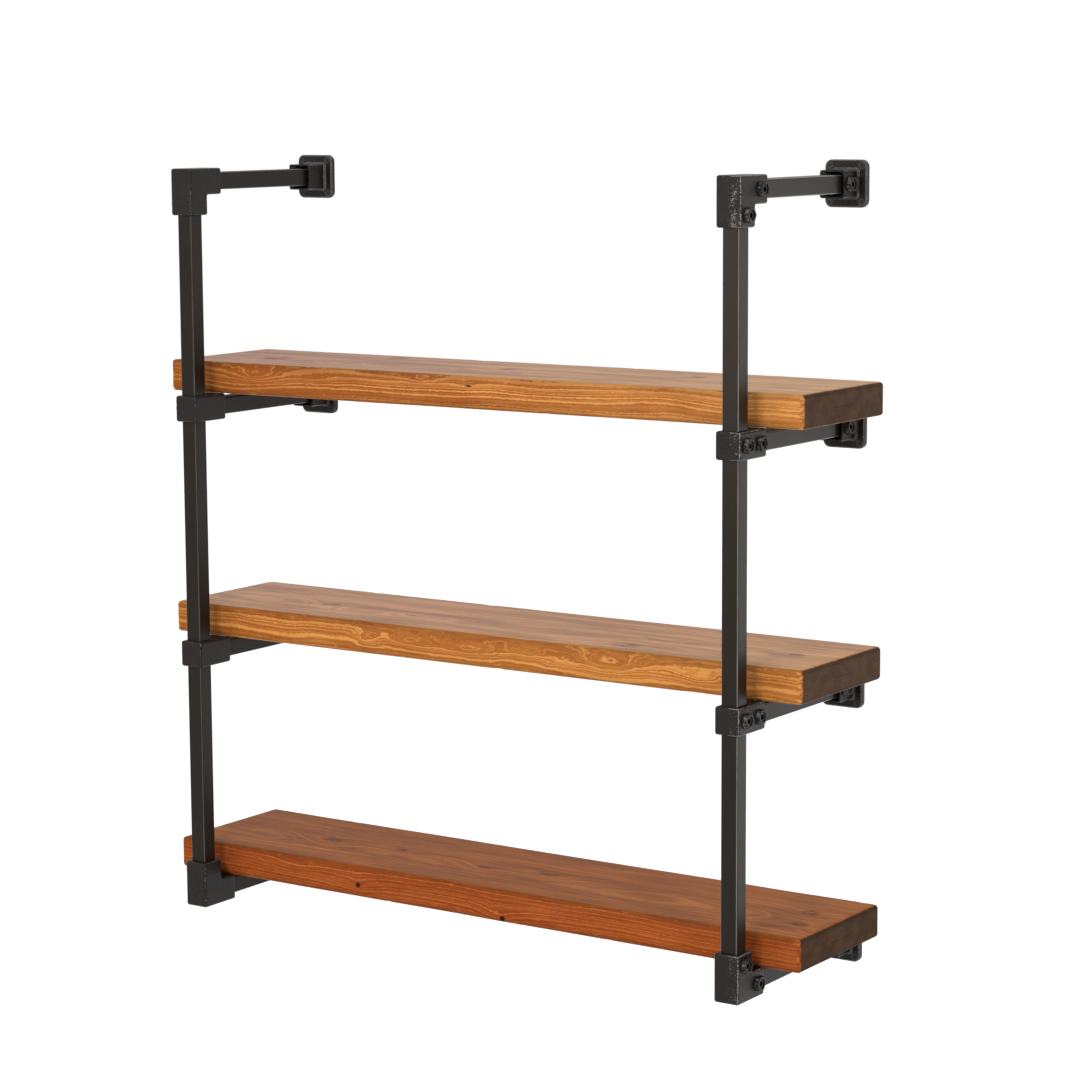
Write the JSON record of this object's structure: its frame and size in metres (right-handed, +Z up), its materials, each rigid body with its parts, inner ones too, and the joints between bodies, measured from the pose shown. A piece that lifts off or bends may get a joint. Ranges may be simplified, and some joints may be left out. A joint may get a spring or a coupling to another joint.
{
  "type": "pipe shelving unit",
  "caption": "Wall-hung shelving unit: side frames of black square tube and cast set-screw fittings, with arms back to wall plates, carry thick stained softwood boards.",
  "frame": {"origin": "on the wall plane, midway between the two side frames, level with the axes of the lowest arms", "axes": "+Z up, +Y into the wall, +X to the right for someone who faces the unit"},
  "size_m": [1.06, 0.3155, 1.105],
  "materials": {
    "golden_board": "golden oak stain and wax on planed softwood",
    "red_board": "redder stain and wax on planed softwood",
    "tube": "satin black powder coat on steel box section",
    "casting": "textured black coat on cast iron",
    "set_screw": "blackened steel"
  },
  "bodies": {
    "frame": {"left_bottom_arm": "tube", "left_bottom_elbow": "casting", "left_bottom_elbow_arm_screw": "set_screw", "left_bottom_elbow_upright_screw": "set_screw", "left_bottom_wall_plate": "casting", "left_bottom_wall_plate_screw": "set_screw", "left_lower_arm": "tube", "left_lower_tee": "casting", "left_lower_tee_arm_screw": "set_screw", "left_lower_tee_upright_screw": "set_screw", "left_lower_wall_plate": "casting", "left_lower_wall_plate_screw": "set_screw", "left_top_arm": "tube", "left_top_elbow": "casting", "left_top_elbow_arm_screw": "set_screw", "left_top_elbow_upright_screw": "set_screw", "left_top_wall_plate": "casting", "left_top_wall_plate_screw": "set_screw", "left_upper_arm": "tube", "left_upper_tee": "casting", "left_upper_tee_arm_screw": "set_screw", "left_upper_tee_upright_screw": "set_screw", "left_upper_wall_plate": "casting", "left_upper_wall_plate_screw": "set_screw", "left_upright": "tube", "right_bottom_arm": "tube", "right_bottom_elbow": "casting", "right_bottom_elbow_arm_screw": "set_screw", "right_bottom_elbow_upright_screw": "set_screw", "right_bottom_wall_plate": "casting", "right_bottom_wall_plate_screw": "set_screw", "right_lower_arm": "tube", "right_lower_tee": "casting", "right_lower_tee_arm_screw": "set_screw", "right_lower_tee_upright_screw": "set_screw", "right_lower_wall_plate": "casting", "right_lower_wall_plate_screw": "set_screw", "right_top_arm": "tube", "right_top_elbow": "casting", "right_top_elbow_arm_screw": "set_screw", "right_top_elbow_upright_screw": "set_screw", "right_top_wall_plate": "casting", "right_top_wall_plate_screw": "set_screw", "right_upper_arm": "tube", "right_upper_tee": "casting", "right_upper_tee_arm_screw": "set_screw", "right_upper_tee_upright_screw": "set_screw", "right_upper_wall_plate": "casting", "right_upper_wall_plate_screw": "set_screw", "right_upright": "tube"},
    "bottom_board": {"bottom_board": "red_board"},
    "middle_board": {"middle_board": "golden_board"},
    "top_board": {"top_board": "golden_board"}
  },
  "joints": [
    {"name": "bottom_board_lift", "type": "slide", "parent": "frame", "child": "bottom_board", "axis": [0, 0, 1], "range_m": [0, 0.273]},
    {"name": "middle_board_lift", "type": "slide", "parent": "frame", "child": "middle_board", "axis": [0, 0, 1], "range_m": [0, 0.273]},
    {"name": "top_board_lift", "type": "slide", "parent": "frame", "child": "top_board", "axis": [0, 0, 1], "range_m": [0, 0.24]}
  ]
}
